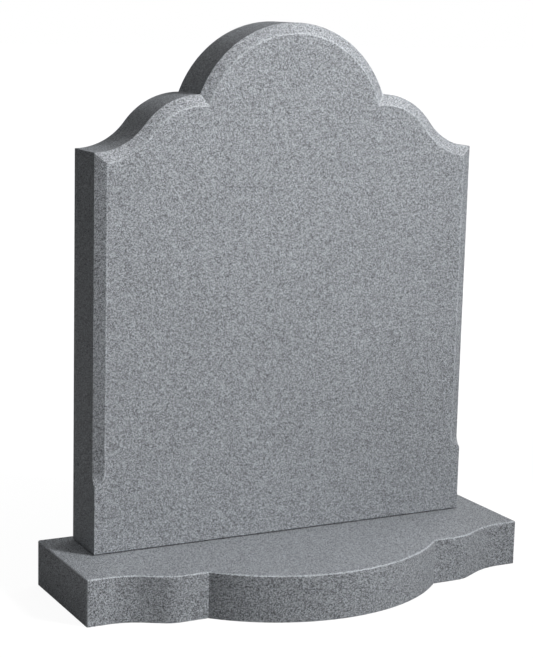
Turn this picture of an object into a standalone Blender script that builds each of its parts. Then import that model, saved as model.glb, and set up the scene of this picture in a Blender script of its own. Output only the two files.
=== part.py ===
"""A granite headstone on its base, in metres, with +Z up and the front facing -Y.

The origin is at the middle of the footprint, on the ground. Both pieces share one kind of
outline: a round crest between two cusps, and beyond each cusp a sweep that is rounded first,
then hollow. On the tablet it is the top. On the base it is the front, where each sweep also has
a level run at both ends and a straight slope in its middle.
"""
from math import acos, asin, atan2, cos, hypot, pi, sin, sqrt

import bmesh
import bpy

# Tablet
STONE_WIDTH = 0.660
STONE_THICKNESS = 0.091
SIDE_HEIGHT = 0.6145
SHOULDER_RISE = 0.0845
DOME_RISE = 0.1095
DOME_SPAN = 0.320
SHOULDER_ROUND_SHARE = 0.53

# Flat chamfer round the tablet's front edge, and the scooped stops where it runs out
CHAMFER_WIDTH = 0.017
CHAMFER_DEPTH = 0.0095
STOP_HEIGHT = 0.108
STOP_LENGTH = 0.018

# Base, by how far it stands out past the tablet
SIDE_MARGIN = 0.051
BACK_MARGIN = 0.018
FRONT_LEDGE = 0.101
BASE_HEIGHT = 0.073
BOW_SPAN = 0.400
BOW_RISE = 0.082
SWEEP_RISE = 0.035

# Each sweep of the base: the shares of its run that are level next to the cusp and next to the
# side, its bends' share of the widest bends that would fit, and the rounded bend's share of those
CUSP_LEVEL_SHARE = 0.24
SIDE_LEVEL_SHARE = 0.17
BEND_SHARE = 0.93
ROUND_BEND_SHARE = 0.33

# Small arrises, and the joint between the two pieces
STONE_ARRIS = 0.002
BASE_ARRIS = 0.0016
JOINT_GAP = 0.0003

# Steps along each half crest, each arc of a sweep and each stop
CREST_STEPS = 24
SWEEP_STEPS = 14
STOP_STEPS = 8

# Points closer than this are one corner
WELD_DISTANCE = 1e-6

# Sizes that follow from the ones above
HALF_STONE = STONE_WIDTH / 2
HALF_BASE = HALF_STONE + SIDE_MARGIN
BASE_DEPTH = BOW_RISE + SWEEP_RISE + FRONT_LEDGE + STONE_THICKNESS + BACK_MARGIN
BASE_BACK_Y = BASE_DEPTH / 2
BASE_SIDE_FRONT_Y = -BASE_DEPTH / 2 + BOW_RISE + SWEEP_RISE
STONE_BACK_Y = BASE_BACK_Y - BACK_MARGIN
STONE_FACE_Y = STONE_BACK_Y - STONE_THICKNESS
STONE_FOOT_Z = BASE_HEIGHT + JOINT_GAP


def on_circle(centre, radius, angle):
    return centre[0] + radius * cos(angle), centre[1] + radius * sin(angle)


def arc(centre, radius, start, end, steps):
    """Points along a circle from one angle to another, both ends included."""
    turns = [start + (end - start) * step / steps for step in range(steps + 1)]
    return [on_circle(centre, radius, turn) for turn in turns]


def upper_crossing(centre_a, radius_a, centre_b, radius_b):
    """The higher of the two points where two circles cross."""
    across = centre_b[0] - centre_a[0]
    up = centre_b[1] - centre_a[1]
    gap = hypot(across, up)
    reach = (radius_a ** 2 - radius_b ** 2 + gap ** 2) / (2 * gap)
    turn = acos(max(-1.0, min(1.0, reach / radius_a)))
    heading = atan2(up, across)
    crossings = [on_circle(centre_a, radius_a, heading + side * turn) for side in (-1, 1)]
    return max(crossings, key=lambda point: point[1])


def angle_from(centre, point):
    return atan2(point[1] - centre[1], point[0] - centre[0])


def radius_of_arc(half_span, rise):
    return (half_span ** 2 + rise ** 2) / (2 * rise)


def crested_half(half_width, crest_half, crest_rise, sweep_rise, round_share, inset=0.0):
    """Half an outline from its crown to its side, measured up from the side's own level.

    An inset draws it in by the same distance everywhere, with the cusp and the corner mitred.
    """
    run = half_width - crest_half
    sweep = 2 * atan2(sweep_rise, run)
    both_radii = run / sin(sweep)
    round_radius = both_radii * round_share
    hollow_radius = both_radii - round_radius
    crest_radius = radius_of_arc(crest_half, crest_rise)
    crest_centre = (0.0, sweep_rise + crest_rise - crest_radius)
    round_centre = (crest_half, sweep_rise - round_radius)
    hollow_centre = (half_width, hollow_radius)

    crest_radius -= inset
    round_radius -= inset
    hollow_radius += inset
    cusp = upper_crossing(crest_centre, crest_radius, round_centre, round_radius)
    corner_angle = 1.5 * pi - asin(inset / hollow_radius)
    crest = arc(crest_centre, crest_radius, pi / 2, angle_from(crest_centre, cusp), CREST_STEPS)
    rounded = arc(round_centre, round_radius, angle_from(round_centre, cusp), pi / 2 - sweep, SWEEP_STEPS)
    hollow = arc(hollow_centre, hollow_radius, 1.5 * pi - sweep, corner_angle, SWEEP_STEPS)
    return crest + rounded[1:] + hollow[1:]


def whole(half):
    """Both halves of an outline, from the left side over the crown to the right."""
    return [(-across, up) for across, up in reversed(half)] + half[1:]


def tablet_top(inset=0.0):
    half = crested_half(HALF_STONE, DOME_SPAN / 2, DOME_RISE, SHOULDER_RISE, SHOULDER_ROUND_SHARE, inset)
    return [(x, STONE_FOOT_Z + SIDE_HEIGHT + up) for x, up in whole(half)]


def stop_profile():
    """Heights down one scooped stop, each with the share of the chamfer that is left there.

    The scoop is one arc that leaves the chamfer smoothly and bites out at the full corner.
    """
    corner_depth = CHAMFER_WIDTH * CHAMFER_DEPTH / hypot(CHAMFER_WIDTH, CHAMFER_DEPTH)
    radius = (STOP_LENGTH ** 2 + corner_depth ** 2) / (2 * corner_depth)
    profile = []
    for step in range(STOP_STEPS + 1):
        down = STOP_LENGTH * step / STOP_STEPS
        lifted = radius - sqrt(radius ** 2 - down ** 2)
        height = STONE_FOOT_Z + STOP_HEIGHT + STOP_LENGTH - down
        profile.append((height, 1.0 - lifted / corner_depth))
    return profile


def chamfer_edges():
    """The chamfer's edge on the face and its edge on the sides, point for point, left to right."""
    face_edge = [(x, STONE_FACE_Y, z) for x, z in tablet_top(CHAMFER_WIDTH)]
    side_edge = [(x, STONE_FACE_Y + CHAMFER_DEPTH, z) for x, z in tablet_top()]
    face_right = []
    side_right = []
    for height, share in stop_profile():
        face_right.append((HALF_STONE - CHAMFER_WIDTH * share, STONE_FACE_Y, height))
        side_right.append((HALF_STONE, STONE_FACE_Y + CHAMFER_DEPTH * share, height))
    return both_stops(face_edge, face_right), both_stops(side_edge, side_right)


def both_stops(edge, right):
    """An edge carried down through the stop on each side."""
    left = [(-x, y, z) for x, y, z in reversed(right)]
    return left + edge + right


def strips(first, second):
    """Faces between two rows of points, with a triangle where the rows meet."""
    faces = []
    for here in range(len(first) - 1):
        corners = [first[here], first[here + 1], second[here + 1], second[here]]
        faces.append(list(dict.fromkeys(corners)))
    return faces


def tablet_faces():
    """Every face of the tablet with its full square foot and back edges."""
    face_edge, side_edge = chamfer_edges()
    back_edge = [(x, STONE_BACK_Y, z) for x, z in tablet_top()]
    top_edge = [(x, STONE_FACE_Y + CHAMFER_DEPTH, z) for x, z in tablet_top()]
    foot = {
        (side, y): (side * HALF_STONE, y, STONE_FOOT_Z)
        for side in (-1, 1)
        for y in (STONE_FACE_Y, STONE_BACK_Y)
    }
    stop_points = STOP_STEPS + 1
    left_side = side_edge[:stop_points + 1]
    right_side = side_edge[-stop_points - 1:]

    front = [foot[-1, STONE_FACE_Y]] + face_edge + [foot[1, STONE_FACE_Y]]
    back = [foot[-1, STONE_BACK_Y]] + back_edge + [foot[1, STONE_BACK_Y]]
    left = [foot[-1, STONE_FACE_Y]] + left_side + [back_edge[0], foot[-1, STONE_BACK_Y]]
    right = right_side + [foot[1, STONE_FACE_Y], foot[1, STONE_BACK_Y], back_edge[-1]]
    bottom = [foot[-1, STONE_FACE_Y], foot[1, STONE_FACE_Y], foot[1, STONE_BACK_Y], foot[-1, STONE_BACK_Y]]
    return [front, back, left, right, bottom] + strips(face_edge, side_edge) + strips(top_edge, back_edge)


def bowed_half():
    """Half the base's front from the bow's crown to its side, measured ahead of the side's own line."""
    cusp = (BOW_SPAN / 2, SWEEP_RISE)
    run = HALF_BASE - BOW_SPAN / 2
    bend_start = cusp[0] + run * CUSP_LEVEL_SHARE
    bend_end = HALF_BASE - run * SIDE_LEVEL_SHARE
    span = bend_end - bend_start
    both_radii = BEND_SHARE * radius_of_arc(span, SWEEP_RISE)
    round_radius = both_radii * ROUND_BEND_SHARE
    hollow_radius = both_radii - round_radius
    between = (span, both_radii - SWEEP_RISE)
    slope = asin(both_radii / hypot(*between)) - atan2(between[1], between[0])

    bow_radius = radius_of_arc(cusp[0], BOW_RISE)
    bow_centre = (0.0, SWEEP_RISE + BOW_RISE - bow_radius)
    bow = arc(bow_centre, bow_radius, pi / 2, angle_from(bow_centre, cusp), CREST_STEPS)
    rounded = arc((bend_start, SWEEP_RISE - round_radius), round_radius, pi / 2, pi / 2 - slope, SWEEP_STEPS)
    hollow = arc((bend_end, hollow_radius), hollow_radius, 1.5 * pi - slope, 1.5 * pi, SWEEP_STEPS)
    return bow + rounded + hollow + [(HALF_BASE, 0.0)]


def base_faces():
    """Every face of the base with square edges: its plan, drawn at the ground and at the top."""
    plan = [(x, BASE_SIDE_FRONT_Y - ahead) for x, ahead in whole(bowed_half())]
    plan += [(HALF_BASE, BASE_BACK_Y), (-HALF_BASE, BASE_BACK_Y)]
    ground = [(x, y, 0.0) for x, y in plan]
    top = [(x, y, BASE_HEIGHT) for x, y in plan]
    return [ground, top] + strips(ground + ground[:1], top + top[:1])


def closed_mesh(faces):
    """One closed mesh from faces given as lists of points, facing outwards."""
    mesh = bmesh.new()
    for points in faces:
        mesh.faces.new([mesh.verts.new(point) for point in points])
    bmesh.ops.remove_doubles(mesh, verts=mesh.verts, dist=WELD_DISTANCE)
    bmesh.ops.recalc_face_normals(mesh, faces=mesh.faces)
    return mesh


def cut_arris(mesh, width, wanted):
    """Takes the sharp edge off every edge whose two ends satisfy the test."""
    edges = [edge for edge in mesh.edges if wanted(edge.verts[0].co, edge.verts[1].co)]
    bmesh.ops.bevel(mesh, geom=edges, offset=width, offset_type='OFFSET', segments=1, affect='EDGES')


def same(first, second):
    return abs(first - second) < WELD_DISTANCE


def on_tablet_arris(start, end):
    """Edges round the tablet's back and round its foot."""
    on_back = same(start.y, STONE_BACK_Y) and same(end.y, STONE_BACK_Y)
    on_foot = same(start.z, STONE_FOOT_Z) and same(end.z, STONE_FOOT_Z)
    return on_back or on_foot


def on_base_arris(start, end):
    """Edges round the base's top and down its four outer corners."""
    on_top = same(start.z, BASE_HEIGHT) and same(end.z, BASE_HEIGHT)
    on_side = same(abs(start.x), HALF_BASE) and same(start.x, end.x)
    return on_top or (on_side and same(start.y, end.y))


def granite(name, colour, roughness):
    material = bpy.data.materials.new(name)
    material.use_nodes = True
    shader = material.node_tree.nodes["Principled BSDF"]
    shader.inputs["Base Color"].default_value = (*colour, 1.0)
    shader.inputs["Roughness"].default_value = roughness
    shader.inputs["Metallic"].default_value = 0.0
    return material


def placed(name, mesh, material):
    """Turns a finished mesh into a named object, smooth round its curves."""
    data = bpy.data.meshes.new(name)
    mesh.to_mesh(data)
    mesh.free()
    data.shade_smooth()
    data.set_sharp_from_angle(angle=pi / 12)
    data.materials.append(material)
    part = bpy.data.objects.new(name, data)
    bpy.context.scene.collection.objects.link(part)
    return part


def build_headstone():
    mesh = closed_mesh(tablet_faces())
    cut_arris(mesh, STONE_ARRIS, on_tablet_arris)
    return placed("headstone", mesh, granite("headstone_granite", (0.30, 0.31, 0.325), 0.55))


def build_base():
    mesh = closed_mesh(base_faces())
    cut_arris(mesh, BASE_ARRIS, on_base_arris)
    return placed("base", mesh, granite("base_granite", (0.27, 0.28, 0.295), 0.5))


def main():
    for leftover in list(bpy.data.objects):
        bpy.data.objects.remove(leftover)
    build_headstone()
    build_base()


main()
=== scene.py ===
from math import cos, pi, radians, sin

import bmesh
import bpy
from mathutils import Matrix, Vector


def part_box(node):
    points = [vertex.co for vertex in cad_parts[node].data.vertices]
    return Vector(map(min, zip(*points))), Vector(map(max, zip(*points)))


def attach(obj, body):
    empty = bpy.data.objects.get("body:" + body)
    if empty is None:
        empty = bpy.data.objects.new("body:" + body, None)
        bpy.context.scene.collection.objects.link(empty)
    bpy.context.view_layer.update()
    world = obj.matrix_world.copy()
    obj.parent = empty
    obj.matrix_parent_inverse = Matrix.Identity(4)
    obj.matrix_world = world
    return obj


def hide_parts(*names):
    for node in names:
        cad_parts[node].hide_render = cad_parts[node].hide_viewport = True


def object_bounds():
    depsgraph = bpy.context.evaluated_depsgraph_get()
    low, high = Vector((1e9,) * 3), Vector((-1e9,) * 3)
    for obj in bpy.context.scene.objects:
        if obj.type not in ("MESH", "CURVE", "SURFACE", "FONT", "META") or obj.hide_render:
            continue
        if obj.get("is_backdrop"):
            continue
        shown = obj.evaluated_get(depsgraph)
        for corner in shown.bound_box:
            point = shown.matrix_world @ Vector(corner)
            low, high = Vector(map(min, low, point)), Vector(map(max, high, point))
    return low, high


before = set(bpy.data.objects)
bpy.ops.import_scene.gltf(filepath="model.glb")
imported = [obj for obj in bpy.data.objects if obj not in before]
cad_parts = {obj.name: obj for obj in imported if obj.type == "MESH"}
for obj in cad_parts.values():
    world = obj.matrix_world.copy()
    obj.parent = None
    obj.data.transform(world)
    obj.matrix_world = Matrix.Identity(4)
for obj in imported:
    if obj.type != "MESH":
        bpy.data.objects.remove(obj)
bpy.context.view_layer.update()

# Camera: place in metres from the tablet's foot, turns in degrees, lens in millimetres, shift of its frame
CAMERA_OFFSET = Vector((-1.2825, -2.3753, 0.8380))
CAMERA_YAW = 27.60
CAMERA_PITCH = 10.404
CAMERA_ROLL = 1.427
FOCAL_LENGTH = 95.16
FRAME_SHIFT = (-0.00196, -0.01099)

# Whole faces: how close points are welded, and how nearly flat triangles lie that are made one face
WELD_DISTANCE = 1e-5
SAME_PLANE_ANGLE = radians(0.3)

# Eased edges: the least angle of a shallow edge and of a sharp one, and how each is rounded
SHALLOW_FROM = radians(12)
SHARP_FROM = radians(35)
SHALLOW_EASE_WIDTH = 0.0013
EASE_WIDTH = 0.0005
EASE_SEGMENTS = 3
EASE_PROFILE = 0.5

# Minerals: their colours, from the palest to the darkest
FELDSPAR = (0.600, 0.633, 0.675, 1.0)
QUARTZ = (0.262, 0.276, 0.295, 1.0)
MICA = (0.030, 0.032, 0.036, 1.0)

# Grain: sizes in metres, the ways the crystals lie, and the share of the tone that each part makes
LATH_WIDTH = 0.0007
LATH_LENGTH = 0.0026
LATH_TURNS = ((0.3, 0.8, 0.2), (-0.2, -0.8, 0.5), (1.3, 0.2, -0.4))
LATH_SHARE = 0.46
SPECK_SIZE = 0.0009
SPECK_SHARE = 0.60
CLUSTER_SIZE = 0.0026
CLUSTER_DETAIL = 2.0
CLUSTER_ROUGHNESS = 0.75
CLUSTER_SHARE = 0.36
CLOUD_SIZE = 0.16
CLOUD_DETAIL = 2.0
CLOUD_ROUGHNESS = 0.5
CLOUD_SHARE = 0.10
UNTURNED = (0.0, 0.0, 0.0)
CELLS_PER_UNIT = 1.0

# Middle of every random value, and of the tones from the darkest mineral to the palest
MIDDLE = 0.5

# Each piece's stone: where in the pattern it is cut, and how strong its grain looks
TABLET_SEED = 0.0
TABLET_CONTRAST = 1.03
BASE_SEED = 3.7
BASE_CONTRAST = 1.4

# Surface: roughness of the honed stone, how far the grain varies it, and the grain's relief in metres
STONE_ROUGHNESS = 0.42
ROUGHNESS_SPREAD = 0.24
BUMP_STRENGTH = 1.0
BUMP_DEPTH = 0.00015

# Wear and painted light: the widest strip that is an arris, the size and kind of the patches, and how much
# the marks lighten the tone along edges, partly as wear and partly as a painted highlight, or darken it as
# painted shade where edges face down
ARRIS_WIDTH = 0.0032
EDGE_PATCH_SIZE = 0.003
EDGE_PATCH_DETAIL = 1.0
EDGE_PATCH_ROUGHNESS = 0.5
WEAR_AND_PAINTED_LIGHT_SHARE = 0.62

# Marks: an arris, an eased sharp edge and an eased shallow one, paler partly from wear and partly as a
# painted highlight; painted shade where these face down, and how far down that is
ARRIS_WEAR_AND_HIGHLIGHT = 1.0
EASED = 0.35
SHALLOW_EASED = 0.6
PAINTED_SHADE = -1.0
UNDERNEATH = -0.3

# Colour of the sky, of the floor's glow and of what is seen behind the stone
WHITE = (1.0, 1.0, 1.0, 1.0)

# Key light: aim, direction in degrees round from straight ahead and up, distance, power, cone and softness
KEY_AIM = Vector((-0.40, 0.0, 0.93))
KEY_DIRECTION = (43, 26)
KEY_DISTANCE = 4.0
KEY_POWER = 858.0
KEY_CONE = 52
KEY_BLEND = 1.0
KEY_WIDTH = 0.5

# Soft lights: distance and width of all, and the direction and power of each, as for the key light
SOFT_DISTANCE = 3.5
SOFT_WIDTH = 2.0
FILL_DIRECTION = (-60, 35)
FILL_POWER = 3.2
RIM_DIRECTION = (120, 30)
RIM_POWER = 20.0
BACK_DIRECTION = (145, 2)
BACK_POWER = 30.0

# Sky: how strong it is overhead, how fast it fades towards the horizon, and where that lies
SKY_STRENGTH = 0.56
SKY_FALL = 2.0
HORIZON = 0.0

# Floor: size, height and tone, and its own glow near the stone, far off and how far that is
FLOOR_SIZE = 60.0
FLOOR_HEIGHT = 0.0
FLOOR_TONE = (0.12, 0.12, 0.12, 1.0)
FLOOR_GLOW_NEAR = 0.92
FLOOR_GLOW_FAR = 1.0
FLOOR_GLOW_REACH = 2.4

# Ground: tone of the unseen plane that throws light up on the stone, and how far it lies under the floor
GROUND_TONE = (0.28, 0.28, 0.28, 1.0)
GROUND_DEPTH = 0.0005

# Floor and ground alike: quite dull
DULL_ROUGHNESS = 1.0
DULL_SPECULAR = 0.0


def place_camera():
    """A camera at the photograph's viewing angle."""
    low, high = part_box("headstone")
    foot = Vector(((low.x + high.x) / 2, low.y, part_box("base")[1].z))
    yaw, pitch, roll = radians(CAMERA_YAW), radians(CAMERA_PITCH), radians(CAMERA_ROLL)
    ahead = Vector((sin(yaw) * cos(pitch), cos(yaw) * cos(pitch), -sin(pitch)))
    level = Vector((cos(yaw), -sin(yaw), 0.0))
    above = level.cross(ahead)
    right = cos(roll) * level + sin(roll) * above
    up = cos(roll) * above - sin(roll) * level
    turned = Matrix((right, up, -ahead)).transposed().to_4x4()

    data = bpy.data.cameras.new("camera")
    data.lens = FOCAL_LENGTH
    data.shift_x, data.shift_y = FRAME_SHIFT
    camera = bpy.data.objects.new("camera", data)
    camera.matrix_world = Matrix.Translation(foot + CAMERA_OFFSET) @ turned
    bpy.context.scene.collection.objects.link(camera)
    bpy.context.scene.camera = camera


def new_node(tree, kind, **settings):
    """A new node with its plain settings made."""
    node = tree.nodes.new(kind)
    for name, value in settings.items():
        setattr(node, name, value)
    return node


def computed(tree, operation, *terms):
    """The result of one operation on values of the tree and plain numbers."""
    node = new_node(tree, "ShaderNodeMath", operation=operation)
    for socket, term in zip(node.inputs, terms):
        if isinstance(term, bpy.types.NodeSocket):
            tree.links.new(term, socket)
        else:
            socket.default_value = term
    return node.outputs[0]


def crystals(tree, place, width, length, turn, shift):
    """A random value for each crystal; crystals of one width and length all lie one way."""
    lie = new_node(tree, "ShaderNodeMapping", vector_type='TEXTURE')
    lie.inputs["Location"].default_value = (shift, shift, shift)
    lie.inputs["Rotation"].default_value = turn
    lie.inputs["Scale"].default_value = (width, width, length)
    cells = new_node(tree, "ShaderNodeTexVoronoi", feature='F1')
    cells.inputs["Scale"].default_value = CELLS_PER_UNIT
    split = new_node(tree, "ShaderNodeSeparateColor")
    tree.links.new(place, lie.inputs["Vector"])
    tree.links.new(lie.outputs[0], cells.inputs["Vector"])
    tree.links.new(cells.outputs["Color"], split.inputs[0])
    return split.outputs[0]


def clouds(tree, place, size, detail, roughness):
    """A smooth random value that changes over about one size."""
    noise = new_node(tree, "ShaderNodeTexNoise", noise_dimensions='3D')
    noise.inputs["Scale"].default_value = 1.0 / size
    noise.inputs["Detail"].default_value = detail
    noise.inputs["Roughness"].default_value = roughness
    tree.links.new(place, noise.inputs["Vector"])
    return noise.outputs[0]


def weighed(tree, value, share, rest):
    """Adds a share of a value, counted from its middle, to the rest, or to the middle if there is none."""
    if rest is None:
        start = MIDDLE - share * MIDDLE
    else:
        start = computed(tree, 'SUBTRACT', rest, share * MIDDLE)
    return computed(tree, 'MULTIPLY_ADD', value, share, start)


def mosaic(tree, place, seed, contrast):
    """The grain as one value from dark to pale: crystals that lie three ways, specks and clusters."""
    grain = None
    for turn in LATH_TURNS:
        laths = crystals(tree, place, LATH_WIDTH, LATH_LENGTH, turn, seed)
        grain = weighed(tree, laths, LATH_SHARE * contrast, grain)
    specks = crystals(tree, place, SPECK_SIZE, SPECK_SIZE, UNTURNED, seed)
    grain = weighed(tree, specks, SPECK_SHARE * contrast, grain)
    clusters = clouds(tree, place, CLUSTER_SIZE, CLUSTER_DETAIL, CLUSTER_ROUGHNESS)
    return weighed(tree, clusters, CLUSTER_SHARE * contrast, grain)


def with_wear_and_painted_light(tree, place, tone):
    """Makes the tone paler along edges, in patches, partly as wear and partly as a painted highlight, and
    darker along edges that face down, as painted shade.
    """
    edges = new_node(tree, "ShaderNodeAttribute", attribute_name="wear_and_painted_light").outputs["Fac"]
    patches = clouds(tree, place, EDGE_PATCH_SIZE, EDGE_PATCH_DETAIL, EDGE_PATCH_ROUGHNESS)
    wear_and_light_mark = computed(tree, 'MULTIPLY', edges, patches)
    return computed(tree, 'MULTIPLY_ADD', wear_and_light_mark, WEAR_AND_PAINTED_LIGHT_SHARE, tone)


def mineral_colours(tree, tone):
    """The mineral at each tone, from dark mica through quartz to pale feldspar."""
    minerals = new_node(tree, "ShaderNodeValToRGB")
    minerals.color_ramp.elements.new(MIDDLE)
    for stop, mineral in zip(minerals.color_ramp.elements, (MICA, QUARTZ, FELDSPAR)):
        stop.color = mineral
    tree.links.new(tone, minerals.inputs[0])
    return minerals.outputs[0]


def granite(name, seed, contrast):
    """Fine grained grey granite: a mosaic of mineral crystals, honed flat, paler at its edges partly from
    wear and partly as a painted highlight, with painted shade along edges that face down.
    """
    material = bpy.data.materials.new(name)
    material.use_nodes = True
    tree = material.node_tree
    shader = tree.nodes["Principled BSDF"]
    place = new_node(tree, "ShaderNodeTexCoord").outputs["Object"]

    grain = mosaic(tree, place, seed, contrast)
    broad = clouds(tree, place, CLOUD_SIZE, CLOUD_DETAIL, CLOUD_ROUGHNESS)
    tone = with_wear_and_painted_light(tree, place, weighed(tree, broad, CLOUD_SHARE, grain))
    tree.links.new(mineral_colours(tree, tone), shader.inputs["Base Color"])

    dullest = STONE_ROUGHNESS + ROUGHNESS_SPREAD * MIDDLE
    polish = computed(tree, 'MULTIPLY_ADD', grain, -ROUGHNESS_SPREAD, dullest)
    tree.links.new(polish, shader.inputs["Roughness"])
    bump = new_node(tree, "ShaderNodeBump")
    bump.inputs["Strength"].default_value = BUMP_STRENGTH
    bump.inputs["Distance"].default_value = BUMP_DEPTH
    tree.links.new(grain, bump.inputs["Height"])
    tree.links.new(bump.outputs[0], shader.inputs["Normal"])
    return material


def is_arris(face):
    """Whether a four-sided face is the narrow strip cut along a sharp edge."""
    if len(face.edges) != 4:
        return False
    for first, second in zip(face.edges[:2], face.edges[2:]):
        middles = [(edge.verts[0].co + edge.verts[1].co) / 2 for edge in (first, second)]
        bent = min(first.calc_face_angle(), second.calc_face_angle()) > SHALLOW_FROM
        if bent and (middles[0] - middles[1]).length < ARRIS_WIDTH:
            return True
    return False


def ease(shape, least, most, width, wear_and_painted_light, wear_and_light_mark):
    """Rounds every edge whose angle is between the least and the most, and marks the new faces paler,
    partly as wear and partly as a painted highlight.
    """
    chosen = [edge for edge in shape.edges if least < edge.calc_face_angle() < most]
    rounded = bmesh.ops.bevel(shape, geom=chosen, offset=width, segments=EASE_SEGMENTS,
                              profile=EASE_PROFILE, affect='EDGES', clamp_overlap=False)
    for face in rounded["faces"]:
        face[wear_and_painted_light] = max(face[wear_and_painted_light], wear_and_light_mark)


def dress(node, name, material):
    """A piece of the solid's own form, with its edges eased, their wear and painted highlight marked on the
    faces, and painted shade marked where they face down.
    """
    shape = bmesh.new()
    shape.from_mesh(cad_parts[node].data)
    bmesh.ops.remove_doubles(shape, verts=shape.verts, dist=WELD_DISTANCE)
    bmesh.ops.dissolve_limit(shape, angle_limit=SAME_PLANE_ANGLE, verts=shape.verts, edges=shape.edges)
    wear_and_painted_light = shape.faces.layers.float.new("wear_and_painted_light")
    # Arrises are marked paler, partly as wear and partly as a painted highlight along the edge.
    for face in filter(is_arris, shape.faces):
        face[wear_and_painted_light] = ARRIS_WEAR_AND_HIGHLIGHT
    ease(shape, SHALLOW_FROM, SHARP_FROM, SHALLOW_EASE_WIDTH, wear_and_painted_light, SHALLOW_EASED)
    ease(shape, SHARP_FROM, pi, EASE_WIDTH, wear_and_painted_light, EASED)
    # Painted shade: edge faces that face down are darkened, as shade in the joint under the tablet and
    # along the foot of the base.
    for face in shape.faces:
        if face[wear_and_painted_light] > 0 and face.normal.z < UNDERNEATH:
            face[wear_and_painted_light] = PAINTED_SHADE
    mesh = bpy.data.meshes.new(name)
    shape.to_mesh(mesh)
    shape.free()
    mesh.materials.append(material)
    mesh.shade_smooth()
    piece = bpy.data.objects.new(name, mesh)
    bpy.context.scene.collection.objects.link(piece)
    flatten = piece.modifiers.new("flatten", 'WEIGHTED_NORMAL')
    flatten.mode = 'FACE_AREA'
    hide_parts(node)
    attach(piece, "root")


def plane(name, height, tone):
    """A level plane far wider than the view, all of one dull tone."""
    bpy.ops.mesh.primitive_plane_add(size=FLOOR_SIZE, location=(0.0, 0.0, height))
    level = bpy.context.object
    level.name = name
    material = bpy.data.materials.new(name)
    material.use_nodes = True
    shader = material.node_tree.nodes["Principled BSDF"]
    shader.inputs["Base Color"].default_value = tone
    shader.inputs["Roughness"].default_value = DULL_ROUGHNESS
    shader.inputs["Specular IOR Level"].default_value = DULL_SPECULAR
    level.data.materials.append(material)
    level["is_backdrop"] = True
    return level


def lay_floor():
    """A plain pale floor under the stone, glowing enough to fade into the white behind it."""
    floor = plane("floor", FLOOR_HEIGHT, FLOOR_TONE)
    floor.visible_diffuse = False
    floor.visible_glossy = False
    floor.visible_shadow = False
    tree = floor.active_material.node_tree
    shader = tree.nodes["Principled BSDF"]
    place = new_node(tree, "ShaderNodeTexCoord").outputs["Object"]
    reach = new_node(tree, "ShaderNodeVectorMath", operation='LENGTH')
    glow = new_node(tree, "ShaderNodeMapRange")
    glow.inputs["From Max"].default_value = FLOOR_GLOW_REACH
    glow.inputs["To Min"].default_value = FLOOR_GLOW_NEAR
    glow.inputs["To Max"].default_value = FLOOR_GLOW_FAR
    tree.links.new(place, reach.inputs[0])
    tree.links.new(reach.outputs["Value"], glow.inputs["Value"])
    tree.links.new(glow.outputs[0], shader.inputs["Emission Strength"])
    shader.inputs["Emission Color"].default_value = WHITE


def lay_ground():
    """A plane just under the floor, not seen itself, that throws a little light up."""
    ground = plane("ground", FLOOR_HEIGHT - GROUND_DEPTH, GROUND_TONE)
    ground.visible_camera = False


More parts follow.
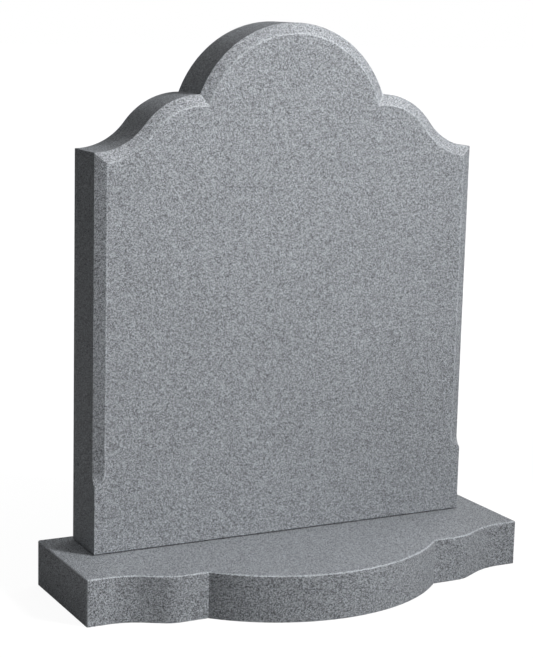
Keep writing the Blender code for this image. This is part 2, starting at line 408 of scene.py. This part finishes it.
def light_world():
    """White all round as seen; as light, a soft sky that is brightest overhead."""
    world = bpy.data.worlds.new("studio")
    bpy.context.scene.world = world
    world.use_nodes = True
    tree = world.node_tree
    tree.nodes.clear()
    seen = new_node(tree, "ShaderNodeBackground")
    seen.inputs["Color"].default_value = WHITE
    sky = new_node(tree, "ShaderNodeBackground")
    sky.inputs["Color"].default_value = WHITE
    split = new_node(tree, "ShaderNodeSeparateXYZ")
    tree.links.new(new_node(tree, "ShaderNodeTexCoord").outputs["Generated"], split.inputs[0])
    lift = computed(tree, 'MAXIMUM', split.outputs["Z"], HORIZON)
    fade = computed(tree, 'POWER', lift, SKY_FALL)
    shine = computed(tree, 'MULTIPLY', fade, SKY_STRENGTH)
    tree.links.new(shine, sky.inputs["Strength"])
    rays = new_node(tree, "ShaderNodeLightPath")
    either = new_node(tree, "ShaderNodeMixShader")
    tree.links.new(rays.outputs["Is Camera Ray"], either.inputs[0])
    tree.links.new(sky.outputs[0], either.inputs[1])
    tree.links.new(seen.outputs[0], either.inputs[2])
    tree.links.new(either.outputs[0], new_node(tree, "ShaderNodeOutputWorld").inputs[0])


def toward(direction):
    """A unit vector from the stone, given in degrees round from straight ahead and up."""
    turn, lift = (radians(angle) for angle in direction)
    return Vector((sin(turn) * cos(lift), -cos(turn) * cos(lift), sin(lift)))


def hang(name, data, aim, direction, distance, mirrored):
    """A lamp that looks at its aim from one direction, itself unseen; the stone may mirror it or not."""
    lamp = bpy.data.objects.new(name, data)
    lamp.location = aim + distance * toward(direction)
    lamp.rotation_mode = 'QUATERNION'
    lamp.rotation_quaternion = toward(direction).to_track_quat('Z', 'Y')
    lamp.visible_camera = False
    lamp.visible_glossy = mirrored
    bpy.context.scene.collection.objects.link(lamp)


def key_light():
    """The main light, from the right and above, strongest on the tablet's upper left."""
    data = bpy.data.lights.new("key", 'SPOT')
    data.energy = KEY_POWER
    data.spot_size = radians(KEY_CONE)
    data.spot_blend = KEY_BLEND
    data.shadow_soft_size = KEY_WIDTH
    hang("key", data, KEY_AIM, KEY_DIRECTION, KEY_DISTANCE, mirrored=True)


def soft_light(name, direction, power, mirrored):
    """A broad round soft light on the whole stone."""
    low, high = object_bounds()
    data = bpy.data.lights.new(name, 'AREA')
    data.shape = 'DISK'
    data.size = SOFT_WIDTH
    data.energy = power
    hang(name, data, (Vector(low) + Vector(high)) / 2, direction, SOFT_DISTANCE, mirrored)


def main():
    """The dressed stone on its floor, in its light."""
    place_camera()
    dress("headstone", "tablet", granite("tablet_granite", TABLET_SEED, TABLET_CONTRAST))
    dress("base", "plinth", granite("plinth_granite", BASE_SEED, BASE_CONTRAST))
    lay_floor()
    lay_ground()
    light_world()
    key_light()
    soft_light("fill", FILL_DIRECTION, FILL_POWER, mirrored=False)
    soft_light("rim", RIM_DIRECTION, RIM_POWER, mirrored=True)
    soft_light("back", BACK_DIRECTION, BACK_POWER, mirrored=False)
    bpy.context.scene.view_settings.view_transform = 'Standard'


main()
